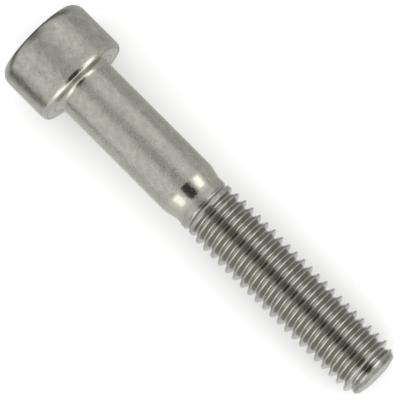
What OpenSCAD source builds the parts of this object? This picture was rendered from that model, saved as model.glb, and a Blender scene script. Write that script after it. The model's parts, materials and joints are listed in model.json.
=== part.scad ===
// Hex socket head cap screw with a plain shank and a part-length rolled thread.
// It lies on its side as it comes to rest, on the rim of its head and the last
// full crest of its thread. The axis runs along +X from head to tip.

/* [Head] */
// Diameter of the head
head_d = 12.72; // [12.2:0.05:13.3]
// Height of the head
head_h = 7.6; // [7.2:0.1:8.6]
// Length of the rounded top edge, measured down the side
top_edge_l = 1.25; // [0.8:0.05:1.8]
// Width of the rounded top edge, measured across the top
top_edge_w = 0.65; // [0.3:0.05:0.8]
// Length of the rounded edge beside the bearing face
bearing_edge_l = 0.6; // [0.3:0.1:1]
// Width of the rounded edge beside the bearing face
bearing_edge_w = 0.25; // [0.1:0.05:0.3]

/* [Socket] */
// Hexagon size across the flats
socket_af = 6.1; // [5.6:0.02:6.4]
// Depth of the hexagon's flats
socket_depth = 4.4; // [3.6:0.1:4.8]
// Diameter of the countersink at the mouth
mouth_d = 8; // [7.6:0.1:9]
// Half angle of the countersink, from the axis
mouth_angle = 45; // [35:1:60]
// Depth of the sloped floor below the flats
floor_h = 0.6; // [0.3:0.1:1]
// Diameter of the round dish in the middle of the floor
dish_d = 3.1; // [2.4:0.1:3.6]
// Depth of that dish
dish_h = 0.15; // [0.05:0.05:0.3]

/* [Shank] */
// Length under the head
length = 50; // [44:0.5:60]
// Diameter of the plain shank
shank_d = 7.82; // [7.7:0.02:8]
// Length of the plain shank
shank_l = 18.1; // [12:0.05:24]
// Radius of the fillet under the head
fillet_r = 0.65; // [0.3:0.05:0.8]
// Diameter of the neck that the thread grows out of
neck_d = 7.08; // [6.9:0.02:7.3]
// Slope of the cone from shank to neck
neck_angle = 13; // [8:0.5:25]
// Radius of the hollow between cone and neck
neck_blend_r = 2.6; // [1:0.1:5]
// Length of the plain neck before the first groove
neck_l = 0.1; // [0.1:0.05:1]

/* [Thread] */
// Diameter over the crests
thread_d = 7.86; // [7.7:0.02:8]
// Distance from crest to crest
pitch = 1.25; // [1:0.05:1.3]
// Turns over which the groove grows to its full depth
groove_turns = 1.4; // [1:0.1:2]
// Turns over which the crest grows to its full height
crest_turns = 1.9; // [1:0.1:3]

/* [Tip] */
// Diameter of the flat end
end_d = 5.4; // [4.4:0.1:5.8]
// Radius of the round between the flat end and the lead-in cone
end_round = 1.15; // [0.6:0.05:1.4]
// Slope of the lead-in cone
end_angle = 21; // [15:1:35]

/* [Hidden] */

STEEL = "#a6a69c";
ARC_STEPS = 8;
// Straight facets in one turn of the thread
SEGMENTS = 36;
CUT = 1;

head_r = head_d / 2;
shank_r = shank_d / 2;
neck_r = neck_d / 2;
thread_r = thread_d / 2;
end_r = end_d / 2;

// Radius of a round that is tangent to the head's side and cuts off the given length and width
function edge_radius(l, w) = (l * l + w * w) / (2 * w);

top_edge_r = edge_radius(top_edge_l, top_edge_w);
bearing_edge_r = edge_radius(bearing_edge_l, bearing_edge_w);

// The thread's form: 60 degree flanks between a flat crest and a flat root, both slightly rounded
flank_angle = 30;
thread_depth = 0.6134 * pitch;
crest_w = pitch / 8;
flank_w = thread_depth * tan(flank_angle);
root_w = pitch - crest_w - 2 * flank_w;
rounding = pitch / 40;

// Stations along the axis, from the bearing face
cone_end = shank_l + (shank_r - neck_r) / tan(neck_angle);
neck_start = cone_end + neck_blend_r * tan(neck_angle / 2);
thread_start = neck_start + neck_l;

// The thread's end is a hair inside the neck, so that its corners stay within the neck's round face
seam = 0.01;
root_of_growth = neck_r - seam;
// Length of the thread's core inside the neck, so that the two join over a length and not only face to face
core_overlap = 0.5;

// Angle from the radius at which the tip's round meets the flat end
END_MEET = 70;
end_centre = [end_r - end_round * cos(END_MEET), length - end_round * sin(END_MEET)];

// Points of an arc, from one angle to another
function arc(centre, r, from, to) =
    [for (i = [0 : ARC_STEPS]) let (a = from + (to - from) * i / ARC_STEPS) centre + r * [cos(a), sin(a)]];

// A smooth step from 0 to 1 that begins at the given turn
function growth(turn, begin, span) =
    let (u = min(max((turn - begin) / span, 0), 1)) u * u * (3 - 2 * u);

// One pitch of the thread, from a crest's far edge: place along the pitch, and radius
FORM = [
    [0, thread_r - rounding],
    [flank_w, thread_r - thread_depth + rounding],
    [flank_w + root_w / 2, thread_r - thread_depth],
    [flank_w + root_w, thread_r - thread_depth + rounding],
    [2 * flank_w + root_w, thread_r - rounding],
    [2 * flank_w + root_w + crest_w / 2, thread_r]
];

// Turns from the start at which the groove and the crest begin to grow
groove_begin = (flank_w + root_w) / pitch;
crest_begin = 1;

// Radius of a point of the form that has gone round by the given number of turns
function form_radius(full, turn) =
    root_of_growth + (full - root_of_growth) * (full > root_of_growth
        ? growth(turn, crest_begin, crest_turns)
        : growth(turn, groove_begin, groove_turns));

// Outer radius that the lead-in cone leaves at a station near the tip
cone_foot = end_centre + end_round * [cos(end_angle), sin(end_angle)];
function lead_in_radius(x) = cone_foot[0] + (cone_foot[1] - x) * tan(end_angle);

// The screw is rolled by half a facet, so that it lies on a flat of its thread and not on a corner
roll = 180 / SEGMENTS;
lying_r = thread_r * cos(roll);

// Crests on that flat, at which the screw can lie
crest_offset = FORM[5][0] - pitch * roll / 360;
crests = floor((length - thread_start) / pitch);
crest_x = [for (k = [ceil(crest_begin + crest_turns) : crests]) thread_start + crest_offset + (k - 1) * pitch];

// Tilt of the axis when the head's rim and a crest touch the ground together
tilt = min([for (x = crest_x) atan((head_r - min(lying_r, lead_in_radius(x))) / (x + bearing_edge_l))]);

// Place of the bearing face's centre, with the ground at z = 0 and the middle of the length at x = 0
lie_z = head_r * cos(tilt) - bearing_edge_l * sin(tilt);
back_x = head_h * cos(tilt) + (head_r - top_edge_w) * sin(tilt);
front_x = length * cos(tilt) + end_r * sin(tilt);
lie_x = (back_x - front_x) / 2;

// Outline of head, shank, cone and neck, as radius and station
module blank_profile() {
    top_centre = [head_r - top_edge_r, -head_h + top_edge_l];
    bearing_centre = [head_r - bearing_edge_r, -bearing_edge_l];
    polygon(concat(
        [[0, -head_h]],
        arc(top_centre, top_edge_r, -asin(top_edge_l / top_edge_r), 0),
        arc(bearing_centre, bearing_edge_r, 0, asin(bearing_edge_l / bearing_edge_r)),
        arc([shank_r + fillet_r, fillet_r], fillet_r, 270, 180),
        [[shank_r, shank_l]],
        arc([neck_r + neck_blend_r, neck_start], neck_blend_r, 180 + neck_angle, 180),
        [[0, neck_start]]
    ));
}

// Outline of the tip: a lead-in cone and a round, ending in the flat end
module tip_profile() {
    wide = thread_r + CUT;
    polygon(concat(
        [[0, neck_start - CUT], [wide, neck_start - CUT]],
        [[wide, cone_foot[1] - (wide - cone_foot[0]) / tan(end_angle)]],
        arc(end_centre, end_round, end_angle, END_MEET),
        [[0, length]]
    ));
}

// Rolled thread as one closed surface along its helix, run on past the tip
module thread_form() {
    n = len(FORM);
    turns = ceil((length - thread_start) / pitch) + 1;
    last = turns * SEGMENTS;
    helix = [for (i = [0 : last + SEGMENTS], p = FORM)
        let (turn = i / SEGMENTS + p[0] / pitch, a = 360 * i / SEGMENTS, r = form_radius(p[1], turn))
        [r * cos(a), r * sin(a), thread_start + turn * pitch]];
    ring = [for (k = [0 : SEGMENTS - 1])
        let (a = 360 * k / SEGMENTS)
        [root_of_growth * cos(a), root_of_growth * sin(a), neck_start - core_overlap]];
    ring0 = len(helix);
    apex = ring0 + SEGMENTS;
    far_point = [0, 0, thread_start + (turns + 1) * pitch];
    function at(i, j) = j == n ? (i + SEGMENTS) * n : i * n + j;
    sides = [for (i = [0 : last - 1], j = [0 : n - 1], side = [0, 1])
        side == 0 ? [at(i, j), at(i, j + 1), at(i + 1, j + 1)] : [at(i, j), at(i + 1, j + 1), at(i + 1, j)]];
    collar = [for (k = [0 : SEGMENTS - 2]) [ring0 + k, at(k, 0), at(k + 1, 0), ring0 + k + 1]];
    // The last panel of the collar takes in every point where the helix begins
    closing = concat([at(SEGMENTS - 1, 0)], [for (j = [n : -1 : 0]) at(0, j)], [ring0, ring0 + SEGMENTS - 1]);
    start_face = [for (k = [0 : SEGMENTS - 1]) ring0 + k];
    far_rim = [for (k = [last : last + SEGMENTS - 1]) [at(k, 0), apex, at(k + 1, 0)]];
    far_step = [for (j = [0 : n - 1]) [at(last, j), at(last, j + 1), apex]];
    polyhedron(
        points = concat(helix, ring, [far_point]),
        faces = concat(sides, collar, [closing, start_face], far_rim, far_step),
        convexity = 10
    );
}

// Threaded end, cut to its lead-in cone, round and flat end
module threaded_end() {
    intersection() {
        thread_form();
        rotate_extrude($fn = 96) tip_profile();
    }
}

// Hexagon socket with its countersunk mouth and sloped, dished floor
module socket() {
    depth = socket_depth + floor_h;
    corner_r = socket_af / 2 / cos(30);
    dish_r = dish_d / 2;
    dish_sphere_r = edge_radius(dish_r, dish_h);
    mouth_h = mouth_d / 2 / tan(mouth_angle);
    floor_slope = (corner_r - dish_r) / floor_h;
    translate([0, 0, -head_h]) {
        intersection() {
            translate([0, 0, -CUT]) cylinder(r = corner_r, h = depth + CUT, $fn = 6);
            rotate_extrude($fn = 96) polygon([
                [0, -2 * CUT], [corner_r + floor_slope * CUT, -2 * CUT],
                [corner_r + floor_slope * CUT, socket_depth - CUT], [dish_r, depth], [0, depth]
            ]);
        }
        translate([0, 0, -CUT])
            cylinder(r1 = mouth_d / 2 + CUT * tan(mouth_angle), r2 = 0, h = mouth_h + CUT, $fn = 96);
        intersection() {
            translate([0, 0, depth + dish_h - dish_sphere_r]) sphere(r = dish_sphere_r, $fn = 96);
            translate([0, 0, depth - CUT / 2]) cylinder(r = dish_r, h = CUT, $fn = 96);
        }
    }
}

// Turns a screw that stands along +Z onto its side, head at -X, and lowers it to the ground
module lay_down() {
    translate([lie_x, 0, lie_z]) rotate([0, 90 + tilt, 0]) rotate([0, 0, roll]) children();
}

// The whole screw, forged and rolled as one piece
module cap_screw() {
    color(STEEL) lay_down() difference() {
        union() {
            rotate_extrude($fn = 96) blank_profile();
            threaded_end();
        }
        socket();
    }
}

cap_screw();
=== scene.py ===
"""Looks of a hex socket cap screw: its fine thread, its socket and its tumbled stainless steel."""

from __future__ import annotations

import json
import logging
import math
from dataclasses import dataclass, field
from enum import Enum
from typing import Any

import bmesh
import bpy
from mathutils import Matrix, Vector

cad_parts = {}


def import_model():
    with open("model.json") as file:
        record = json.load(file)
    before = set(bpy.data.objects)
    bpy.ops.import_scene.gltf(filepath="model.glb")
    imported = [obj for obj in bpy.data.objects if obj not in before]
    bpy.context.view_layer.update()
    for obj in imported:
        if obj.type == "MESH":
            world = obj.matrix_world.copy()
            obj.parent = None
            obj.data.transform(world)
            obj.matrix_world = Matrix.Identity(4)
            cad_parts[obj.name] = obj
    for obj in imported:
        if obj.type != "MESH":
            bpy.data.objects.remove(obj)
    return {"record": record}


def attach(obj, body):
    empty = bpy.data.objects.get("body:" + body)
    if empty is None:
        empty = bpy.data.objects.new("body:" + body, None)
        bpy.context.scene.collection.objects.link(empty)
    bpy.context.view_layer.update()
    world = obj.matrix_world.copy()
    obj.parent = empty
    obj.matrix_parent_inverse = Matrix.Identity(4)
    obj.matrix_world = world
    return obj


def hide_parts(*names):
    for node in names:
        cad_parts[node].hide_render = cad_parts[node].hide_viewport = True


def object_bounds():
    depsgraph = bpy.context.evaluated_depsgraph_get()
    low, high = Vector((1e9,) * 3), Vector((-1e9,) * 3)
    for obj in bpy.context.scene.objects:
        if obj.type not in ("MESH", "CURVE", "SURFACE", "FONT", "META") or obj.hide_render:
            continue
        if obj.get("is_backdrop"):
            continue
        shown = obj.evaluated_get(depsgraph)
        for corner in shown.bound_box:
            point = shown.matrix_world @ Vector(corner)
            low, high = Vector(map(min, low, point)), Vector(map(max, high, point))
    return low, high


LOG = logging.getLogger("cap_screw")
MM = 0.001
# Facets in a turn of the solid's thread.
SOLID_FACETS = 36

Point = tuple[float, float]
Row = list[Point]


def linear(hex_colour: str) -> tuple[float, float, float, float]:
    """Turns an sRGB hex colour into a linear colour.

    Args:
        hex_colour: The colour as "#rrggbb".

    Returns:
        Red, green and blue in linear light, and an alpha of 1.
    """
    shares = [int(hex_colour[i : i + 2], 16) / 255 for i in (1, 3, 5)]
    lit = [v / 12.92 if v <= 0.04045 else ((v + 0.055) / 1.055) ** 2.4 for v in shares]
    return lit[0], lit[1], lit[2], 1.0


class Kind(Enum):
    """Kinds of node in the scene's trees, each a type of node with its settings."""

    ADD = ("ShaderNodeMath", {"operation": "ADD"})
    SUBTRACT = ("ShaderNodeMath", {"operation": "SUBTRACT"})
    MULTIPLY = ("ShaderNodeMath", {"operation": "MULTIPLY"})
    MULTIPLY_ADD = ("ShaderNodeMath", {"operation": "MULTIPLY_ADD"})
    DIVIDE = ("ShaderNodeMath", {"operation": "DIVIDE"})
    POWER = ("ShaderNodeMath", {"operation": "POWER"})
    SQRT = ("ShaderNodeMath", {"operation": "SQRT"})
    ABSOLUTE = ("ShaderNodeMath", {"operation": "ABSOLUTE"})
    FLOOR = ("ShaderNodeMath", {"operation": "FLOOR"})
    MINIMUM = ("ShaderNodeMath", {"operation": "MINIMUM"})
    MAXIMUM = ("ShaderNodeMath", {"operation": "MAXIMUM"})
    SMOOTH_MIN = ("ShaderNodeMath", {"operation": "SMOOTH_MIN"})
    LESS_THAN = ("ShaderNodeMath", {"operation": "LESS_THAN"})
    GREATER_THAN = ("ShaderNodeMath", {"operation": "GREATER_THAN"})
    COSINE = ("ShaderNodeMath", {"operation": "COSINE"})
    SINE = ("ShaderNodeMath", {"operation": "SINE"})
    SCALED = ("ShaderNodeVectorMath", {"operation": "SCALE"})
    STRETCHED = ("ShaderNodeVectorMath", {"operation": "MULTIPLY"})
    DIRECTION = ("ShaderNodeVectorMath", {"operation": "NORMALIZE"})
    COMBINE = ("ShaderNodeCombineXYZ", {})
    SEPARATE = ("ShaderNodeSeparateXYZ", {})
    RANGE = ("ShaderNodeMapRange", {})
    RAMP = ("ShaderNodeMapRange", {"interpolation_type": "SMOOTHSTEP"})
    BLEND = ("ShaderNodeMix", {"data_type": "FLOAT"})
    BLEND_COLOUR = ("ShaderNodeMix", {"data_type": "RGBA"})

    GIVEN = ("NodeGroupInput", {})
    RESULT = ("NodeGroupOutput", {})
    COUNT = ("GeometryNodeAttributeDomainSize", {})
    GRID = ("GeometryNodeMeshGrid", {})
    INDEX = ("GeometryNodeInputIndex", {})
    POSITION = ("GeometryNodeInputPosition", {})
    SAMPLE = ("GeometryNodeSampleIndex", {"data_type": "FLOAT_VECTOR", "domain": "POINT"})
    CHOOSE = ("GeometryNodeSwitch", {"input_type": "FLOAT"})
    MOVE = ("GeometryNodeSetPosition", {})
    REALIZE = ("GeometryNodeRealizeInstances", {})
    DRESS = ("GeometryNodeSetMaterial", {})

    COORDINATES = ("ShaderNodeTexCoord", {})
    PLACED = ("ShaderNodeMapping", {})
    STROKES = ("ShaderNodeMapping", {"vector_type": "TEXTURE"})
    NOISE = ("ShaderNodeTexNoise", {})
    BUMP = ("ShaderNodeBump", {})
    SURFACE = ("ShaderNodeBsdfPrincipled", {})
    GLOW = ("ShaderNodeEmission", {})
    MATERIAL = ("ShaderNodeOutputMaterial", {})
    RAYS = ("ShaderNodeLightPath", {})
    SKY = ("ShaderNodeBackground", {})
    WORLD = ("ShaderNodeOutputWorld", {})


class Wiring:
    """A node tree that is wired up node by node."""

    def __init__(self, tree: bpy.types.NodeTree) -> None:
        """Takes over a tree and empties it."""
        self.tree = tree
        tree.nodes.clear()

    def add(self, kind: Kind, *values: Any, **named: Any) -> bpy.types.Node:
        """Adds a node with its settings, values and links.

        Args:
            kind: The node's kind.
            *values: Its inputs in order. A socket is linked, and so is the first output of a node.
            **named: Other inputs by name, with an underscore for a space.

        Returns:
            The new node.
        """
        type_name, settings = kind.value
        node = self.tree.nodes.new(type_name)
        for name, value in settings.items():
            setattr(node, name, value)
        used = [socket for socket in node.inputs if socket.enabled]
        by_name = {socket.name.replace(" ", "_"): socket for socket in used}
        fed = [*zip(used, values), *((by_name[name], value) for name, value in named.items())]
        for socket, value in fed:
            if isinstance(value, bpy.types.Node):
                value = next(out for out in value.outputs if out.enabled)
            if isinstance(value, bpy.types.NodeSocket):
                self.tree.links.new(value, socket)
            else:
                socket.default_value = value
        return node


def new_material(name: str) -> bpy.types.Material:
    """Makes a material whose node tree is ready to be wired.

    Args:
        name: Its name.

    Returns:
        The material.
    """
    made = bpy.data.materials.new(name)
    made.use_nodes = True
    return made


def arc(centre: Point, radius: float, start: float, stop: float, steps: int) -> Row:
    """Points of an arc in the plane of station and radius.

    Args:
        centre: Station and radius of the arc's centre.
        radius: Radius of the arc.
        start: First angle in degrees, from the direction away from the axis towards the tip.
        stop: Last angle in degrees.
        steps: Number of equal steps.

    Returns:
        The points as station and radius.
    """
    angles = [math.radians(start + (stop - start) * i / steps) for i in range(steps + 1)]
    return [(centre[0] + radius * math.sin(a), centre[1] + radius * math.cos(a)) for a in angles]


def line(start: Point, stop: Point, steps: int) -> Row:
    """Points of a straight stretch, without its two ends.

    Args:
        start: Station and radius of the first end.
        stop: Station and radius of the last end.
        steps: Number of equal steps between the ends.

    Returns:
        The points between the ends.
    """
    return [
        (start[0] + (stop[0] - start[0]) * i / steps, start[1] + (stop[1] - start[1]) * i / steps)
        for i in range(1, steps)
    ]


def edge_radius(length: float, width: float) -> float:
    """Radius of a round that is tangent to a side and cuts off a given length and width."""
    return (length**2 + width**2) / (2 * width)


@dataclass(frozen=True)
class Lie:
    """Where the screw lies: the centre of its bearing face, its axis and its roll."""

    centre: Vector
    along: Vector
    roll: float

    @classmethod
    def from_record(cls, record: dict[str, Any], facets: int) -> Lie:
        """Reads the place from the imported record.

        Args:
            record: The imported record.
            facets: Facets in a turn of the solid's thread, on the middle of one of which it lies.

        Returns:
            The place of the screw.
        """
        face = next(m for m in record["mounts"] if m["name"] == "bearing_face")
        centre = Vector((face["pos_m"][0], 0.0, face["pos_m"][2]))
        return cls(centre, Vector(face["axis"]).normalized(), math.pi / facets)

    def matrix(self) -> Matrix:
        """Turns the screw's own frame, with its axis along +Z, into the model's frame.

        Returns:
            The matrix from the screw's own frame to the model's.
        """
        side = Vector((0.0, 1.0, 0.0))
        down = side.cross(self.along)
        turn = Matrix((down, side, self.along)).transposed().to_4x4()
        return Matrix.Translation(self.centre) @ turn @ Matrix.Rotation(self.roll, 4, "Z")

    def point(self, station: float) -> Vector:
        """A point on the axis, at a station from the bearing face towards the tip."""
        return self.centre + self.along * station


@dataclass(frozen=True)
class Socket:
    """Hexagon socket with a countersunk mouth and a sloped, dished floor."""

    across_flats: float = 6.1 * MM
    depth: float = 4.4 * MM
    mouth_r: float = 4.0 * MM
    floor_h: float = 0.6 * MM
    dish_r: float = 1.55 * MM
    dish_h: float = 0.15 * MM
    corner_r: float = 0.25 * MM
    lip_r: float = 0.12 * MM
    foot_r: float = 0.2 * MM
    # How far the lip's round reaches into the mouth, as a share of its radius.
    lip_share: float = 0.7
    # Steps of the mesh over the dish, the floor, each round, the wall and the mouth.
    dish_steps: int = 5
    floor_steps: int = 5
    round_steps: int = 4
    wall_steps: int = 8
    mouth_steps: int = 3

    def wall_radius(self, angle: float) -> float:
        """Distance from the axis to the hexagon's wall, with slightly rounded corners.

        Args:
            angle: Direction in radians, with a corner at 0.

        Returns:
            The distance.
        """
        apothem = self.across_flats / 2
        half_side = math.pi / 6
        off_corner = (angle + half_side) % (2 * half_side) - half_side
        centre = (apothem - self.corner_r) / math.cos(half_side)
        sideways = centre * math.sin(off_corner)
        reach = self.corner_r**2 - sideways**2
        flat = apothem / math.cos(half_side - abs(off_corner))
        if reach <= 0:
            return flat
        rounded = centre * math.cos(off_corner) + math.sqrt(reach)
        tangent_out = centre + self.corner_r * math.cos(half_side)
        tangent = math.atan2(self.corner_r * math.sin(half_side), tangent_out)
        return rounded if abs(off_corner) < tangent else flat

    def column(self, top: float, angle: float) -> Row:
        """Outline of the socket in one direction, from the axis to the head's top face.

        Args:
            top: Station of the head's top face.
            angle: Direction in radians.

        Returns:
            Points as station and radius.
        """
        wall = self.wall_radius(angle)
        rim = self.across_flats / 2 / math.cos(math.pi / 6)
        floor = top + self.depth + self.floor_h
        slope = self.floor_h / (rim - self.dish_r)
        foot = (floor - (wall - self.dish_r) * slope, wall)
        lip = (top + self.mouth_r - wall, wall)
        dish = [
            (floor + self.dish_h * (1 - (k / self.dish_steps) ** 2), self.dish_r * k / self.dish_steps)
            for k in range(self.dish_steps + 1)
        ]
        inner_foot = (foot[0] + self.foot_r * slope, wall - self.foot_r)
        bends = [k / self.round_steps for k in range(self.round_steps + 1)]
        foot_round = [
            (foot[0] + self.foot_r * (slope * (1 - t) ** 2 - t**2), wall - self.foot_r * (1 - t) ** 2)
            for t in bends[1:]
        ]
        upper_wall = (lip[0] + self.lip_r, wall)
        lip_round = [
            (
                lip[0] + self.lip_r * ((1 - t) ** 2 - self.lip_share * t**2),
                wall + self.lip_r * self.lip_share * t**2,
            )
            for t in bends
        ]
        mouth = (top, self.mouth_r)
        rim_in = (top + self.lip_r / 2, self.mouth_r - self.lip_r / 2)
        rim_out = (top, self.mouth_r + self.lip_r / 2)
        return [
            *dish,
            *line(dish[-1], inner_foot, self.floor_steps),
            inner_foot,
            *foot_round,
            *line(foot_round[-1], upper_wall, self.wall_steps),
            *lip_round,
            *line(lip_round[-1], rim_in, self.mouth_steps),
            rim_in,
            (mouth[0] + self.lip_r / 8, mouth[1]),
            rim_out,
        ]


@dataclass(frozen=True)
class Head:
    """Cylinder head with a rounded top edge and a slightly rounded edge beside the bearing face."""

    radius: float
    height: float
    top_edge_l: float = 1.25 * MM
    top_edge_w: float = 0.65 * MM
    bearing_edge_l: float = 0.6 * MM
    bearing_edge_w: float = 0.25 * MM
    # Steps of the mesh over the top face, its edge, the side and the edge beside the bearing face.
    face_steps: int = 6
    top_edge_steps: int = 12
    side_steps: int = 8
    bearing_edge_steps: int = 8

    def outline(self, inner: Point) -> Row:
        """Outline of the head from the socket's rim to the bearing face.

        Args:
            inner: Station and radius of the socket's rim.

        Returns:
            Points as station and radius.
        """
        top_r = edge_radius(self.top_edge_l, self.top_edge_w)
        top = arc(
            (self.top_edge_l - self.height, self.radius - top_r),
            top_r,
            -math.degrees(math.asin(self.top_edge_l / top_r)),
            0,
            self.top_edge_steps,
        )
        bearing_r = edge_radius(self.bearing_edge_l, self.bearing_edge_w)
        bearing = arc(
            (-self.bearing_edge_l, self.radius - bearing_r),
            bearing_r,
            0,
            math.degrees(math.asin(self.bearing_edge_l / bearing_r)),
            self.bearing_edge_steps,
        )
        face = line(inner, top[0], self.face_steps)
        return [*face, *top, *line(top[-1], bearing[0], self.side_steps), *bearing]


@dataclass(frozen=True)
class Shank:
    """Plain shank with a fillet under the head, and a cone towards the neck with a round at each end."""

    radius: float
    length: float = 18.1 * MM
    fillet_r: float = 0.65 * MM
    shoulder_r: float = 2.0 * MM
    shoulder_l: float = 0.23 * MM
    neck_r: float = 3.54 * MM
    neck_angle: float = 13.0
    blend_r: float = 2.6 * MM
    neck_l: float = 0.1 * MM
    # Steps of the mesh over the fillet, the side, each of the cone's two rounds and the cone.
    fillet_steps: int = 8
    side_steps: int = 24
    round_steps: int = 6
    cone_steps: int = 4

    def neck_start(self) -> float:
        """Station at which the hollow ends and the neck is a plain cylinder.

        Returns:
            The distance from the bearing face.
        """
        slope = math.radians(self.neck_angle)
        cone_end = self.length + (self.radius - self.neck_r) / math.tan(slope)
        return cone_end + self.blend_r * math.tan(slope / 2)

    def thread_start(self) -> float:
        """Station at which the thread's groove begins."""
        return self.neck_start() + self.neck_l

    def outline(self) -> Row:
        """Outline of the shank from the bearing face to the start of the thread.

        Returns:
            Points as station and radius.
        """
        corner = (self.fillet_r, self.radius + self.fillet_r)
        fillet = arc(corner, self.fillet_r, -90, -180, self.fillet_steps)
        fillet = [(x, r) for x, r in fillet if x >= 0]
        centre = (self.length - self.shoulder_l, self.radius - self.shoulder_r)
        shoulder = arc(centre, self.shoulder_r, 0, self.neck_angle, self.round_steps)
        outside = (self.neck_start(), self.neck_r + self.blend_r)
        hollow = arc(outside, self.blend_r, 180 + self.neck_angle, 180, self.round_steps)
        return [
            *fillet,
            *line(fillet[-1], shoulder[0], self.side_steps),
            *shoulder,
            *line(shoulder[-1], hollow[0], self.cone_steps),
            *hollow,
            (self.thread_start(), self.neck_r),
        ]


@dataclass(frozen=True)
class Tip:
    """Lead-in cone, round and flat end of the thread, with the angle at which the round meets the end."""

    length: float = 50.0 * MM
    end_r: float = 2.7 * MM
    round_r: float = 1.15 * MM
    slope: float = 30.0
    meet: float = 70.0
    # Round of the edges that the cone leaves where it cuts the thread's crests.
    cut_round: float = 0.05 * MM

    def round_centre(self) -> Point:
        """Place of the centre of the round.

        Returns:
            Its station and radius.
        """
        meet = math.radians(self.meet)
        return (
            self.length - self.round_r * math.sin(meet),
            self.end_r - self.round_r * math.cos(meet),
        )

    def cone_foot(self) -> Point:
        """Place at which the cone ends and the round begins.

        Returns:
            Its station and radius.
        """
        station, radius = self.round_centre()
        slope = math.radians(self.slope)
        return station + self.round_r * math.sin(slope), radius + self.round_r * math.cos(slope)


@dataclass(frozen=True)
class Thread:
    """Rolled thread: 60 degree flanks between a slightly rounded crest and root, grown out of the neck."""

    radius: float = 3.915 * MM
    pitch: float = 1.25 * MM
    depth_share: float = 0.6134
    crest_share: float = 0.125
    flank_angle: float = 30.0
    crest_round: float = 0.07 * MM
    root_round: float = 0.1 * MM
    round_steps: int = 3
    # Turns over which groove and crest grow, and the entry's start, growth and share of the full form.
    groove_turns: float = 1.4
    crest_begin: float = 1.0
    crest_turns: float = 1.9
    entry_begin: float = 0.36
    entry_turns: float = 0.3
    entry_share: float = 0.35
    # Sideways slide of a crest's edge for each unit of depth that is missing, a little less than the
    # flanks' slope.
    slide: float = 0.45
    # Margin that keeps the rounds of crest and root apart where the groove is still shallow.
    corner_spare: float = 1.06
    columns: int = 144
    # Length of thread that is wound past the end and then folded in to close it.
    spare: float = 1.1 * MM

    def form(self) -> Row:
        """One pitch of the thread's form, from a crest's far edge to the next.

        Returns:
            Points as place along the pitch and radius.
        """
        flank_w = self.flank_width()
        root_w = self.pitch - self.crest_share * self.pitch - 2 * flank_w
        root = self.root_radius()
        corners = [
            ((0.0, self.radius), self.crest_round),
            ((flank_w, root), self.root_round),
            ((flank_w + root_w, root), self.root_round),
            ((2 * flank_w + root_w, self.radius), self.crest_round),
        ]
        places = [p for p, _ in corners]
        places = [(places[-1][0] - self.pitch, places[-1][1]), *places, (self.pitch, self.radius)]
        rounded: Row = []
        for k, (corner, cut) in enumerate(corners):
            before, after = Vector(places[k]), Vector(places[k + 2])
            at = Vector(corner)
            start = at + (before - at).normalized() * cut
            stop = at + (after - at).normalized() * cut
            for t in (step / self.round_steps for step in range(self.round_steps + 1)):
                bent = start * (1 - t) ** 2 + at * (2 * t * (1 - t)) + stop * t**2
                rounded.append((bent.x, bent.y))
        return rounded

    def root_radius(self) -> float:
        """Radius of the groove's root."""
        return self.radius - self.depth_share * self.pitch

    def flank_width(self) -> float:
        """Width of a flank, along the pitch."""
        return self.depth_share * self.pitch * math.tan(math.radians(self.flank_angle))

    def corner_height(self) -> float:
        """Depth that the rounds of crest and root take of a flank, and a little more."""
        rounds = self.crest_round + self.root_round
        return self.corner_spare * rounds * math.cos(math.radians(self.flank_angle))

    def groove_begin(self) -> float:
        """Turns from the start at which the groove begins to grow."""
        return 1 - self.crest_share - self.flank_width() / self.pitch

    def turns(self, shank: Shank, tip: Tip) -> int:
        """Turns of the helix that reach past the flat end and close it."""
        return math.ceil((tip.length + self.spare - shank.thread_start()) / self.pitch)


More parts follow.
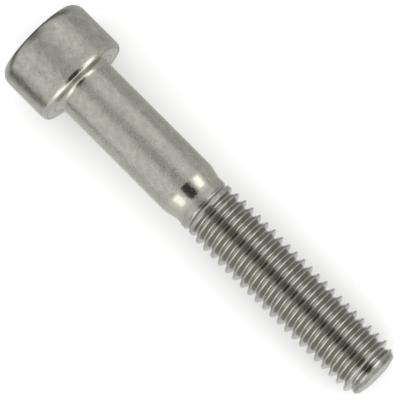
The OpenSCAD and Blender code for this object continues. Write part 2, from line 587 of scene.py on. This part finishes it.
class ThreadWinder(Wiring):
    """Geometry Nodes tree that winds one pitch of a thread's form along its helix."""

    # The inputs beside the form, by the type of their sockets.
    INPUTS: dict[str, tuple[str, ...]] = {
        "NodeSocketInt": ("Turns", "Columns"),
        "NodeSocketFloat": (
            *("Start", "Pitch", "Neck Radius", "Crest Radius", "Root Radius", "Slide", "Corner Height"),
            *("Groove Begin", "Groove Turns", "Crest Begin", "Crest Turns"),
            *("Entry Begin", "Entry Turns", "Entry Share"),
            *("Cone Foot", "Cone Foot Radius", "Cone Slope", "Edge Round"),
            *("Round Centre", "Round Centre Radius", "Round Radius"),
            *("End", "End Radius", "Spare"),
        ),
        "NodeSocketMaterial": ("Material",),
    }
    # Laps of the grid before the start, which are held on the start's circle and close it.
    EARLY_LAPS = 2
    # Turns from the start below which a vertex counts as lying on it.
    SNAP_TURNS = 0.006
    # Share of the spare length past the end over which the end closes.
    CLOSING_SHARE = 0.8

    def __init__(self) -> None:
        """Makes the tree with its named inputs."""
        super().__init__(bpy.data.node_groups.new("wind_thread", "GeometryNodeTree"))
        face = self.tree.interface
        face.new_socket("Form", in_out="INPUT", socket_type="NodeSocketGeometry")
        for kind, names in self.INPUTS.items():
            for name in names:
                face.new_socket(name, in_out="INPUT", socket_type=kind)
        face.new_socket("Geometry", in_out="OUTPUT", socket_type="NodeSocketGeometry")
        self.given = self.add(Kind.GIVEN).outputs
        self.wind()

    def grown(self, turn: Any, begin: Any, span: Any) -> bpy.types.Node:
        """A smooth rise from 0 to 1 over a span of turns."""
        return self.add(Kind.RAMP, turn, begin, self.add(Kind.ADD, begin, span))

    def wind(self) -> None:
        """Lays a grid round the axis, shapes it by the form, the growth and the tip, and closes the end."""
        add, given = self.add, self.given

        # Each vertex has a place round the axis, a lap of the helix and a step along the drawn form. Half a
        # count is added before each division, so that the whole number can't come out one too low.
        per_turn = add(Kind.COUNT, given["Form"]).outputs["Point Count"]
        columns = add(Kind.ADD, given["Columns"], 1)
        laps = add(Kind.ADD, given["Turns"], self.EARLY_LAPS)
        rows = add(Kind.MULTIPLY_ADD, laps, per_turn, 1)
        grid = add(Kind.GRID, Vertices_X=rows, Vertices_Y=columns)
        index = add(Kind.INDEX)
        row = add(Kind.FLOOR, add(Kind.DIVIDE, add(Kind.ADD, index, 0.5), columns))
        around = add(Kind.SUBTRACT, index, add(Kind.MULTIPLY, row, columns))
        share = add(Kind.DIVIDE, around, given["Columns"])
        lap = add(Kind.FLOOR, add(Kind.DIVIDE, add(Kind.ADD, row, 0.5), per_turn))
        step = add(Kind.SUBTRACT, row, add(Kind.MULTIPLY, lap, per_turn))
        drawn = add(Kind.SEPARATE, add(Kind.SAMPLE, given["Form"], add(Kind.POSITION), step)).outputs
        along, full = add(Kind.DIVIDE, drawn[0], given["Pitch"]), drawn[1]

        # Crest and groove grow out of the neck at their own pace, after a shallow entry of both.
        lead = add(Kind.ADD, add(Kind.ADD, add(Kind.SUBTRACT, lap, self.EARLY_LAPS), along), share)
        entry = self.grown(lead, given["Entry Begin"], given["Entry Turns"])
        entry = add(Kind.MULTIPLY, entry, given["Entry Share"])
        groove = add(Kind.MAXIMUM, self.grown(lead, given["Groove Begin"], given["Groove Turns"]), entry)
        crest = add(Kind.MAXIMUM, self.grown(lead, given["Crest Begin"], given["Crest Turns"]), entry)
        above = add(Kind.SUBTRACT, given["Crest Radius"], given["Neck Radius"])
        below = add(Kind.SUBTRACT, given["Neck Radius"], given["Root Radius"])
        raised, sunk = add(Kind.MULTIPLY, crest, above), add(Kind.MULTIPLY, groove, below)
        deep = add(Kind.ADD, raised, sunk)

        # Dies that haven't sunk in fully press a narrower groove, with flanks as steep and crests that are
        # flat and wide. So a crest's two edges slide along its flanks by the depth that is missing.
        missing = add(Kind.SUBTRACT, add(Kind.ADD, above, below), deep)
        slide = add(Kind.DIVIDE, add(Kind.MULTIPLY, missing, given["Slide"]), given["Pitch"])
        is_crest = add(Kind.GREATER_THAN, full, given["Neck Radius"])
        side = add(Kind.CHOOSE, add(Kind.LESS_THAN, along, 0.5), -1.0, 1.0)
        slid = add(Kind.MULTIPLY_ADD, add(Kind.MULTIPLY, side, slide), is_crest, lead)
        sharp = add(Kind.MINIMUM, add(Kind.DIVIDE, deep, given["Corner Height"]), 1.0)
        off_crest = add(Kind.MULTIPLY, add(Kind.SUBTRACT, given["Crest Radius"], full), sharp)
        off_root = add(Kind.MULTIPLY, add(Kind.SUBTRACT, full, given["Root Radius"]), sharp)
        crest_rise = add(Kind.SUBTRACT, raised, off_crest)
        root_rise = add(Kind.SUBTRACT, off_root, sunk)
        rise = add(Kind.CHOOSE, is_crest, root_rise, crest_rise)

        # The helix starts square to the axis: what would lie before the start is held on its circle.
        started = add(Kind.GREATER_THAN, slid, self.SNAP_TURNS)
        turn = add(Kind.CHOOSE, started, 0.0, slid)
        station = add(Kind.MULTIPLY_ADD, turn, given["Pitch"], given["Start"])
        rolled = add(Kind.MULTIPLY_ADD, rise, started, given["Neck Radius"])

        # The lead-in cone and the round of the tip cut the thread down.
        past_foot = add(Kind.SUBTRACT, given["Cone Foot"], station)
        cone = add(Kind.MULTIPLY_ADD, past_foot, given["Cone Slope"], given["Cone Foot Radius"])
        off_centre = add(Kind.POWER, add(Kind.SUBTRACT, station, given["Round Centre"]), 2)
        square = add(Kind.SUBTRACT, add(Kind.POWER, given["Round Radius"], 2), off_centre)
        arch = add(Kind.SQRT, add(Kind.MAXIMUM, square, 0.0))
        rounded = add(Kind.ADD, given["Round Centre Radius"], arch)
        limit = add(Kind.CHOOSE, add(Kind.LESS_THAN, past_foot, 0.0), cone, rounded)
        turned = add(Kind.SMOOTH_MIN, rolled, limit, given["Edge Round"])

        # What would lie past the end closes the flat end towards the axis.
        over = add(Kind.MAXIMUM, add(Kind.SUBTRACT, station, given["End"]), 0.0)
        closed_by = add(Kind.MULTIPLY, given["Spare"], self.CLOSING_SHARE)
        left = add(Kind.SUBTRACT, 1.0, add(Kind.DIVIDE, over, closed_by))
        closing = add(Kind.MULTIPLY, given["End Radius"], add(Kind.MAXIMUM, left, 0.0))
        radius = add(Kind.CHOOSE, add(Kind.GREATER_THAN, over, 0.0), turned, closing)

        angle = add(Kind.MULTIPLY, share, 2 * math.pi)
        across = add(Kind.MULTIPLY, radius, add(Kind.COSINE, angle))
        beside = add(Kind.MULTIPLY, radius, add(Kind.SINE, angle))
        place = add(Kind.COMBINE, across, beside, add(Kind.MINIMUM, station, given["End"]))
        wound = add(Kind.REALIZE, add(Kind.MOVE, grid, Position=place))
        add(Kind.RESULT, add(Kind.DRESS, wound, Material=given["Material"]))

    def run(self, form: Row, values: dict[str, Any]) -> bpy.types.Mesh:
        """Winds a form and returns the result as a plain mesh.

        Args:
            form: One pitch of the form, as place along the pitch and radius.
            values: The tree's inputs, by name.

        Returns:
            The wound mesh, in the screw's own frame.
        """
        mesh = bpy.data.meshes.new("thread_form")
        mesh.from_pydata([(x, r, 0.0) for x, r in form], [(k, k + 1) for k in range(len(form) - 1)], [])
        holder = bpy.data.objects.new("thread_form", mesh)
        bpy.context.scene.collection.objects.link(holder)
        modifier = holder.modifiers.new("wind_thread", "NODES")
        modifier.node_group = self.tree
        for item in self.tree.interface.items_tree:
            if item.item_type == "SOCKET" and item.in_out == "INPUT" and item.name in values:
                modifier[item.identifier] = values[item.name]
        graph = bpy.context.evaluated_depsgraph_get()
        wound = bpy.data.meshes.new_from_object(holder.evaluated_get(graph), depsgraph=graph)
        holder.modifiers.remove(modifier)
        bpy.data.objects.remove(holder)
        return wound


class Region(Enum):
    """Stretches of the screw that differ in finish, by how each surface was made."""

    TOP = "satin top face of the head"
    RIM = "burnished rim round the head's top"
    HEAD = "tumbled side of the head"
    EDGE = "burnished edge beside the bearing face"
    FACE = "turned bearing face"
    FILLET = "burnished fillet"
    SHANK = "drawn shank"
    CONE = "burnished cone"
    NECK = "drawn neck"
    THREAD = "rolled thread"
    TIP = "sheared tip"


@dataclass(frozen=True)
class Look:
    """How one region looks: its colour, its gloss, and how strongly its marks show."""

    colour: str
    roughness: float
    mottle: float
    grain: float


LOOKS: dict[Region, Look] = {
    Region.TOP: Look("#b4b4b0", 0.36, 1.2, 1.2),
    Region.RIM: Look("#a9a89f", 0.3, 0.8, 0.7),
    Region.HEAD: Look("#b1b0a6", 0.34, 1.7, 1.2),
    Region.EDGE: Look("#b6b5a8", 0.21, 0.6, 0.8),
    Region.FACE: Look("#b3b2aa", 0.34, 0.4, 0.4),
    Region.FILLET: Look("#b4b3a6", 0.27, 0.5, 0.6),
    Region.SHANK: Look("#b1b0a6", 0.27, 1.2, 1.15),
    Region.CONE: Look("#b8b8ac", 0.21, 0.6, 0.8),
    Region.NECK: Look("#afaea4", 0.31, 0.5, 0.7),
    Region.THREAD: Look("#abaaa2", 0.2, 0.4, 0.4),
    Region.TIP: Look("#93928a", 0.33, 2.2, 1.9),
}


@dataclass(frozen=True)
class StainlessSteel:
    """Austenitic stainless steel, cold forged and rolled, then tumbled.

    Tumbling leaves a soft satin with fine crossed marks, which spreads the softboxes into broad bands. Drawn
    and forged faces stay dull and mottled, and the places that a die or a roll has rubbed mirror the studio
    more sharply.
    """

    # Grain, mottle and scratches of the real finish are some hundredths of a millimetre wide, too fine for
    # the render's pixels. They are drawn several times as coarse, so that they show.
    grain_size: float = 0.26 * MM
    grain_height: float = 0.016 * MM
    mottle_size: float = 0.9 * MM
    scratch_length: float = 0.8 * MM
    scratch_width: float = 0.11 * MM
    scratch_angles: tuple[float, float] = (41.0, -47.0)
    scratch_levels: tuple[float, float] = (0.58, 0.74)
    scratch_light: float = 0.3
    scratch_depth: float = 0.16
    mottle_level: float = 0.58
    mottle_shade: float = 0.6
    mottle_roughness: float = 0.18
    # Radius and width of the two dark rings of painted shade on the bearing face, near its fillet and near
    # its outer edge.
    shade_ring_places: tuple[Point, ...] = ((4.72 * MM, 0.1 * MM), (5.95 * MM, 0.12 * MM))
    face_ring_shade: float = 0.45
    face_ring_reach: float = 0.05 * MM
    # The punch leaves a brown film on the socket's floor, streaked from the middle outwards; its two colours
    # are partly that film and partly painted reflection.
    dark_film_and_reflection: str = "#7d6c55"
    light_film_and_reflection: str = "#b3a684"
    streak_size: float = 0.12
    streak_levels: tuple[float, float] = (0.35, 0.65)
    # The film and its painted reflection start over this depth past the mouth, and only in the head.
    film_and_reflection_edge: tuple[float, float] = (0.03 * MM, 0.15 * MM)
    film_and_reflection_last: float = -1.0 * MM
    dish_colour: str = "#847b78"
    dish_blur: float = 0.1 * MM
    # A painted highlight: a bright ring round the dish, where a small bevel would catch the light, with its
    # half widths at full strength and at none.
    highlight_ring_colour: str = "#c9bfa4"
    highlight_ring_edge: tuple[float, float] = (0.03 * MM, 0.08 * MM)
    socket_roughness: float = 0.3

    def material(self, lie: Lie, head: Head, shank: Shank, socket: Socket, tip: Tip) -> bpy.types.Material:
        """Makes the screw's one material, which varies with the place on the screw.

        Args:
            lie: Where the screw lies.
            head: The head.
            shank: The shank.
            socket: The socket.
            tip: The tip.

        Returns:
            The material.
        """
        made = new_material("tumbled_stainless_steel")
        nodes = Wiring(made.node_tree)
        add = nodes.add
        back = lie.matrix().inverted()
        model = add(Kind.COORDINATES).outputs["Object"]
        where = add(Kind.PLACED, model, Location=back.translation, Rotation=back.to_euler())
        across, beside, station = add(Kind.SEPARATE, where).outputs
        radius = add(Kind.SQRT, add(Kind.ADD, add(Kind.POWER, across, 2), add(Kind.POWER, beside, 2)))

        look = LOOKS[Region.TOP]
        colour: Any = linear(look.colour)
        rough: Any = look.roughness
        mottle: Any = look.mottle
        grain: Any = look.grain
        for region, begin, blur in self.stretches(head, shank, tip):
            look = LOOKS[region]
            share = add(Kind.RAMP, station, begin - blur / 2, begin + blur / 2)
            colour = add(Kind.BLEND_COLOUR, share, colour, linear(look.colour))
            rough = add(Kind.BLEND, share, rough, look.roughness)
            mottle = add(Kind.BLEND, share, mottle, look.mottle)
            grain = add(Kind.BLEND, share, grain, look.grain)
        inside = self.in_socket(nodes, radius, station, head, socket)
        colour = add(Kind.BLEND_COLOUR, inside, colour, self.socket_floor(nodes, where, radius, socket))
        rough = add(Kind.BLEND, inside, rough, self.socket_roughness)

        patches = add(Kind.NOISE, where, Scale=1 / self.mottle_size, Detail=5.0, Roughness=0.65)
        dots = add(Kind.NOISE, where, Scale=1 / self.grain_size, Detail=3.0, Roughness=0.7)
        marks = self.crossed_marks(nodes, where)
        rings = self.painted_shade_rings(nodes, radius, station)
        uneven = add(Kind.MULTIPLY_ADD, marks, self.scratch_light, patches)
        dark = add(Kind.MULTIPLY, add(Kind.SUBTRACT, uneven, self.mottle_level), mottle)
        shade = add(Kind.MULTIPLY_ADD, dark, self.mottle_shade, 1.0)
        # Painted shade: the two dark rings darken the bearing face's colour.
        shade = add(Kind.MULTIPLY, shade, add(Kind.MULTIPLY_ADD, rings, -self.face_ring_shade, 1.0))
        height = add(Kind.MULTIPLY_ADD, marks, -self.scratch_depth, dots)
        steel = add(
            Kind.SURFACE,
            Base_Color=add(Kind.SCALED, colour, shade),
            Metallic=1.0,
            Roughness=add(Kind.MULTIPLY_ADD, dark, self.mottle_roughness, rough),
            Normal=add(Kind.BUMP, Strength=grain, Distance=self.grain_height, Height=height),
        )
        add(Kind.MATERIAL, steel)
        return made

    def stretches(self, head: Head, shank: Shank, tip: Tip) -> list[tuple[Region, float, float]]:
        """Each region after the head's top, with where it begins and how soft its edge is.

        Args:
            head: The head.
            shank: The shank.
            tip: The tip.

        Returns:
            The regions from the head to the tip, each with its first station and its edge's width.
        """
        return [
            (Region.RIM, -head.height + 0.06 * MM, 0.06 * MM),
            (Region.HEAD, -head.height + 0.7 * head.top_edge_l, 0.3 * MM),
            (Region.EDGE, -head.bearing_edge_l, 0.12 * MM),
            (Region.FACE, -0.12 * MM, 0.08 * MM),
            (Region.FILLET, 0.1 * MM, 0.1 * MM),
            (Region.SHANK, shank.fillet_r, 0.3 * MM),
            (Region.CONE, shank.length - 0.2 * MM, 0.15 * MM),
            (Region.NECK, shank.neck_start() + 0.05 * MM, 0.3 * MM),
            (Region.THREAD, shank.thread_start() + 1.0 * MM, 0.8 * MM),
            (Region.TIP, tip.cone_foot()[0] - 0.1 * MM, 0.25 * MM),
        ]

    def in_socket(
        self, nodes: Wiring, radius: Any, station: Any, head: Head, socket: Socket
    ) -> bpy.types.Node:
        """Tells the hexagon's inside from its countersunk mouth, which is as light as the head.

        Args:
            nodes: The material's nodes.
            radius: Distance from the axis.
            station: Distance from the bearing face towards the tip.
            head: The head.
            socket: The socket.

        Returns:
            A value of 1 inside the hexagon and 0 elsewhere.
        """
        depth = nodes.add(Kind.ADD, station, head.height)
        past_mouth = nodes.add(Kind.SUBTRACT, nodes.add(Kind.ADD, depth, radius), socket.mouth_r)
        deep = nodes.add(Kind.RAMP, past_mouth, *self.film_and_reflection_edge)
        narrow = nodes.add(Kind.LESS_THAN, radius, socket.mouth_r)
        in_head = nodes.add(Kind.LESS_THAN, station, self.film_and_reflection_last)
        return nodes.add(Kind.MULTIPLY, nodes.add(Kind.MULTIPLY, deep, narrow), in_head)

    def socket_floor(self, nodes: Wiring, where: Any, radius: Any, socket: Socket) -> bpy.types.Node:
        """Colour inside the socket: a brown film with streaks that is partly painted reflection, a painted
        highlight ring and a greyer dish.

        Args:
            nodes: The material's nodes.
            where: Coordinates in the screw's own frame.
            radius: Distance from the axis.
            socket: The socket.

        Returns:
            The colour.
        """
        add = nodes.add
        around = add(Kind.DIRECTION, add(Kind.STRETCHED, where, (1.0, 1.0, 0.0)))
        cloud = add(Kind.NOISE, around, Scale=1 / self.streak_size, Detail=3.0, Roughness=0.6)
        streaks = add(Kind.RAMP, cloud, *self.streak_levels)
        # Partly painted reflection: the streaked brown stands in partly for what the socket's floor mirrors.
        film = add(Kind.BLEND_COLOUR, streaks, linear(self.dark_film_and_reflection), linear(self.light_film_and_reflection))
        in_dish = add(Kind.RAMP, radius, socket.dish_r - self.dish_blur, socket.dish_r, 1.0, 0.0)
        film = add(Kind.BLEND_COLOUR, in_dish, film, linear(self.dish_colour))
        # Painted highlight: a bright ring round the dish.
        off_highlight_ring = add(Kind.ABSOLUTE, add(Kind.SUBTRACT, radius, socket.dish_r))
        on_highlight_ring = add(Kind.RAMP, off_highlight_ring, *self.highlight_ring_edge, 1.0, 0.0)
        return add(Kind.BLEND_COLOUR, on_highlight_ring, film, linear(self.highlight_ring_colour))

    def painted_shade_rings(self, nodes: Wiring, radius: Any, station: Any) -> bpy.types.Node:
        """Painted shade: two thin dark rings on the bearing face, near its fillet and near its outer edge.

        Args:
            nodes: The material's nodes.
            radius: Distance from the axis.
            station: Distance from the bearing face towards the tip.

        Returns:
            A value up to 1 on the rings.
        """
        found: Any = 0.0
        for place, width in self.shade_ring_places:
            off = nodes.add(Kind.ABSOLUTE, nodes.add(Kind.SUBTRACT, radius, place))
            found = nodes.add(Kind.MAXIMUM, found, nodes.add(Kind.RAMP, off, width / 2, width, 1.0, 0.0))
        on_face = nodes.add(Kind.LESS_THAN, nodes.add(Kind.ABSOLUTE, station), self.face_ring_reach)
        return nodes.add(Kind.MULTIPLY, found, on_face)

    def crossed_marks(self, nodes: Wiring, where: Any) -> bpy.types.Node:
        """Short fine scratches in two crossing directions, as tumbling leaves them.

        Args:
            nodes: The material's nodes.
            where: Coordinates in the screw's own frame.

        Returns:
            A value near 0 beside the scratches and up to 1 on them.
        """
        stroke = (self.scratch_width, self.scratch_width, self.scratch_length)
        found = []
        for angle in self.scratch_angles:
            turned = nodes.add(Kind.STROKES, where, Rotation=(math.radians(angle), 0.0, 0.0), Scale=stroke)
            cloud = nodes.add(Kind.NOISE, turned, Scale=1.0, Detail=1.0)
            found.append(nodes.add(Kind.RAMP, cloud, *self.scratch_levels))
        return nodes.add(Kind.MAXIMUM, *found)


@dataclass
class CapScrew:
    """The whole screw, forged and rolled as one piece."""

    lie: Lie
    head: Head
    shank: Shank
    socket: Socket = field(default_factory=Socket)
    thread: Thread = field(default_factory=Thread)
    tip: Tip = field(default_factory=Tip)
    steel: StainlessSteel = field(default_factory=StainlessSteel)
    merge_distance: float = 1e-7
    sharp_angle: float = 35.0

    def blank(self) -> bmesh.types.BMesh:
        """Makes socket, head, shank and neck as one surface.

        Returns:
            The surface, in the screw's own frame.
        """
        made = bmesh.new()
        top = -self.head.height
        columns = []
        for k in range(self.thread.columns):
            angle = 2 * math.pi * k / self.thread.columns
            inside = self.socket.column(top, angle)
            outline = [*inside, *self.head.outline(inside[-1]), *self.shank.outline()]
            columns.append(
                [made.verts.new((r * math.cos(angle), r * math.sin(angle), x)) for x, r in outline]
            )
        for k, column in enumerate(columns):
            after = columns[(k + 1) % len(columns)]
            for j in range(len(column) - 1):
                made.faces.new((column[j], column[j + 1], after[j + 1], after[j]))
        return made

    def wound(self, material: bpy.types.Material) -> bpy.types.Mesh:
        """Winds the thread and its tip.

        Args:
            material: The steel.

        Returns:
            The wound mesh, in the screw's own frame.
        """
        foot, centre = self.tip.cone_foot(), self.tip.round_centre()
        values = {
            "Start": self.shank.thread_start(),
            "Pitch": self.thread.pitch,
            "Turns": self.thread.turns(self.shank, self.tip),
            "Columns": self.thread.columns,
            "Neck Radius": self.shank.neck_r,
            "Crest Radius": self.thread.radius,
            "Root Radius": self.thread.root_radius(),
            "Slide": self.thread.slide,
            "Corner Height": self.thread.corner_height(),
            "Groove Begin": self.thread.groove_begin(),
            "Groove Turns": self.thread.groove_turns,
            "Crest Begin": self.thread.crest_begin,
            "Crest Turns": self.thread.crest_turns,
            "Entry Begin": self.thread.entry_begin,
            "Entry Turns": self.thread.entry_turns,
            "Entry Share": self.thread.entry_share,
            "Cone Foot": foot[0],
            "Cone Foot Radius": foot[1],
            "Cone Slope": math.tan(math.radians(self.tip.slope)),
            "Round Centre": centre[0],
            "Round Centre Radius": centre[1],
            "Round Radius": self.tip.round_r,
            "End": self.tip.length,
            "End Radius": self.tip.end_r,
            "Edge Round": self.tip.cut_round,
            "Spare": self.thread.spare,
            "Material": material,
        }
        return ThreadWinder().run(self.thread.form(), values)

    def build(self) -> bpy.types.Object:
        """Joins blank and thread into one closed mesh, lays it down and dresses it.

        Returns:
            The screw.
        """
        material = self.steel.material(self.lie, self.head, self.shank, self.socket, self.tip)
        made = self.blank()
        made.from_mesh(self.wound(material))
        bmesh.ops.remove_doubles(made, verts=made.verts, dist=self.merge_distance)
        bmesh.ops.recalc_face_normals(made, faces=made.faces)
        open_edges = sum(not e.is_manifold for e in made.edges)
        LOG.info("open or shared edges: %d, volume %.1f mm3", open_edges, made.calc_volume() / MM**3)
        mesh = bpy.data.meshes.new("cap_screw_fine")
        made.to_mesh(mesh)
        made.free()
        mesh.transform(self.lie.matrix())
        mesh.materials.clear()
        mesh.materials.append(material)
        for face in mesh.polygons:
            face.use_smooth = True
        mesh.set_sharp_from_angle(angle=math.radians(self.sharp_angle))
        piece = bpy.data.objects.new("cap_screw_fine", mesh)
        bpy.context.scene.collection.objects.link(piece)
        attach(piece, "root")
        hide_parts("cap_screw")
        return piece


@dataclass(frozen=True)
class Camera:
    """The photograph's camera: a long lens above the lying screw, a little towards its tip.

    Lean and image turn are in degrees. Station and aside give the point at which it looks.
    """

    lens_mm: float = 451.9
    sensor_mm: float = 36.0
    distance: float = 0.6
    lean: float = 8.46
    station: float = 20.066 * MM
    aside: float = 0.023 * MM
    image_turn: float = 45.0

    def place(self, lie: Lie) -> bpy.types.Object:
        """Makes the camera and sets it as the scene's.

        Args:
            lie: Where the screw lies.

        Returns:
            The camera.
        """
        side = Vector((0.0, 1.0, 0.0))
        up = lie.along.cross(side)
        lean = math.radians(self.lean)
        back = (lie.along * math.sin(lean) + up * math.cos(lean)).normalized()
        across = side.cross(back).normalized()
        turn = math.radians(self.image_turn)
        right = across * math.cos(turn) + side * math.sin(turn)
        above = side * math.cos(turn) - across * math.sin(turn)
        data = bpy.data.cameras.new("camera")
        data.lens, data.sensor_width = self.lens_mm, self.sensor_mm
        data.clip_start, data.clip_end = 0.01, 10.0
        made = bpy.data.objects.new("camera", data)
        turned = Matrix((right, above, back)).transposed().to_4x4()
        target = lie.point(self.station) + side * self.aside
        made.matrix_world = Matrix.Translation(target + back * self.distance) @ turned
        bpy.context.scene.collection.objects.link(made)
        bpy.context.scene.camera = made
        return made


@dataclass(frozen=True)
class Card:
    """A flat panel that faces the screw: a softbox, or a dark or grey card that only reflections show."""

    # Past this share of its direction along the screw a panel counts as standing at its end.
    END_ON = 0.8

    name: str
    aside: float
    height: float
    width: float
    length: float
    strength: float
    along: float = 0.0
    flat: bool = False

    def panel(self, target: Vector) -> Matrix:
        """Place of the panel, with its own Z towards the target.

        Args:
            target: The point that it faces.

        Returns:
            The panel's matrix.
        """
        spot = Vector((self.along, self.aside, self.height))
        if self.flat:
            return Matrix.Translation(spot)
        back = (spot - target).normalized()
        across = Vector((0.0, 1.0, 0.0)) if abs(back.x) > self.END_ON else Vector((1.0, 0.0, 0.0))
        across = (across - back * across.dot(back)).normalized()
        turned = Matrix((across, back.cross(across), back)).transposed().to_4x4()
        return Matrix.Translation(spot) @ turned


@dataclass(frozen=True)
class Studio:
    """White floor, a long softbox on either side, and the dark and grey cards that the metal mirrors.

    The steel shows its form only by what it mirrors: dark cards above and at the head's end draw the dark
    bands along shank and head, and grey ones on the floor the shading of the thread's flanks.
    """

    target: Vector
    floor_size: float = 6.0
    background: float = 1.0
    ambient: float = 1.3
    floor_colour: str = "#f2f2f2"
    softboxes: tuple[Card, ...] = (
        Card("softbox_left", 0.232, 0.21, 0.205, 0.50, 1.4, along=0.27),
        Card("softbox_right", -0.272, 0.168, 0.24, 0.50, 1.3, along=0.27),
    )
    cards: tuple[Card, ...] = (
        Card("dark_card_tip", -0.015, 0.40, 0.36, 0.645, 0.04, along=0.2375),
        Card("dark_card_head", -0.015, 0.40, 0.36, 0.62, 0.45, along=-0.395),
        Card("dark_card_end", 0.0, 0.05, 0.5, 0.12, 0.08, along=-0.5),
        Card("dark_card_floor_end", 0.0, 0.0012, 0.5, 0.42, 0.12, along=-0.255, flat=True),
        Card("grey_card_left", 0.6, 0.10, 0.2, 2.0, 0.58),
        Card("grey_card_floor_left", 0.083, 0.0005, 0.154, 1.0, 0.62, flat=True),
        Card("grey_card_floor_right", -0.083, 0.0005, 0.154, 1.0, 0.85, flat=True),
        Card("dark_card_floor_near", -0.09, 0.0007, 0.14, 0.013, 0.0, along=-0.033, flat=True),
        Card("dark_card_floor_far", -0.18, 0.0009, 0.26, 0.024, 0.0, along=-0.040, flat=True),
    )

    def build(self) -> None:
        """Makes floor, world, softboxes and cards."""
        self.floor()
        self.world()
        for card in self.softboxes:
            self.softbox(card)
        for card in self.cards:
            self.card(card)

    def sheet(self, name: str, width: float, length: float, matrix: Matrix) -> bpy.types.Object:
        """Makes a flat rectangle of the stage.

        Args:
            name: Its name.
            width: Its size across, along its own Y.
            length: Its size along its own X.
            matrix: Its place.

        Returns:
            The rectangle.
        """
        mesh = bpy.data.meshes.new(name)
        corners = [(-length, -width, 0), (length, -width, 0), (length, width, 0), (-length, width, 0)]
        mesh.from_pydata([Vector(c) / 2 for c in corners], [], [(0, 1, 2, 3)])
        mesh.transform(matrix)
        made = bpy.data.objects.new(name, mesh)
        bpy.context.scene.collection.objects.link(made)
        made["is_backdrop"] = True
        return made

    def floor(self) -> None:
        """Makes the white floor, which keeps the screw's shadow."""
        floor = self.sheet("floor", self.floor_size, self.floor_size, Matrix.Identity(4))
        # Matt paper: white and even, with only the screw's soft shadow on it.
        paper = new_material("white_paper")
        nodes = Wiring(paper.node_tree)
        matt = nodes.add(Kind.SURFACE, linear(self.floor_colour), Roughness=0.9)
        nodes.add(Kind.MATERIAL, matt)
        floor.data.materials.append(paper)

    def world(self) -> None:
        """Makes the surround, white to the camera, to metal and to glass, and soft light to all else."""
        made = bpy.data.worlds.new("studio")
        made.use_nodes = True
        nodes = Wiring(made.node_tree)
        rays = nodes.add(Kind.RAYS).outputs
        seen = nodes.add(Kind.MAXIMUM, rays["Is Camera Ray"], rays["Is Glossy Ray"])
        seen = nodes.add(Kind.MAXIMUM, seen, rays["Is Transmission Ray"])
        strength = nodes.add(Kind.RANGE, seen, To_Min=self.ambient, To_Max=self.background)
        nodes.add(Kind.WORLD, nodes.add(Kind.SKY, linear("#ffffff"), strength))
        bpy.context.scene.world = made

    def softbox(self, card: Card) -> None:
        """Makes one soft lamp of a given brightness.

        Args:
            card: Its place, size and brightness.
        """
        data = bpy.data.lights.new(card.name, "AREA")
        data.shape, data.size, data.size_y = "RECTANGLE", card.length, card.width
        data.energy = card.strength * math.pi * card.length * card.width
        lamp = bpy.data.objects.new(card.name, data)
        lamp.matrix_world = card.panel(self.target)
        lamp.visible_camera = False
        bpy.context.scene.collection.objects.link(lamp)

    def card(self, card: Card) -> None:
        """Makes one card that only reflections show.

        Args:
            card: Its place, size and brightness.
        """
        made = self.sheet(card.name, card.width, card.length, card.panel(self.target))
        # Board of one even tone, from black to light grey, which the metal shows as a band of that tone.
        board = new_material(card.name)
        nodes = Wiring(board.node_tree)
        nodes.add(Kind.MATERIAL, nodes.add(Kind.GLOW, linear("#ffffff"), card.strength))
        made.data.materials.append(board)
        made.visible_camera = made.visible_diffuse = made.visible_shadow = False
        made.visible_transmission = False


def main() -> None:
    """Builds the screw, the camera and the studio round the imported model."""
    logging.basicConfig(level=logging.INFO, format="%(name)s: %(message)s")
    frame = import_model()
    low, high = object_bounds()
    record = frame["record"]
    mounts = {m["name"]: m for m in record["mounts"]}
    lie = Lie.from_record(record, SOLID_FACETS)
    top = Vector((mounts["head_top"]["pos_m"][0], 0.0, mounts["head_top"]["pos_m"][2]))
    head = Head(radius=(high.y - low.y) / 2, height=(lie.centre - top).length)
    shank = Shank(radius=mounts["shank"]["dims"]["r_mm"] * MM)
    LOG.info("head %.3f mm across, %.3f mm high", 2 * head.radius / MM, head.height / MM)
    screw = CapScrew(lie, head, shank).build()
    LOG.info("%s: %d faces", screw.name, len(screw.data.polygons))
    Camera().place(lie)
    Studio(lie.point(Camera.station)).build()
    bpy.context.scene.view_settings.view_transform = "Standard"


if __name__ == "__main__":
    main()
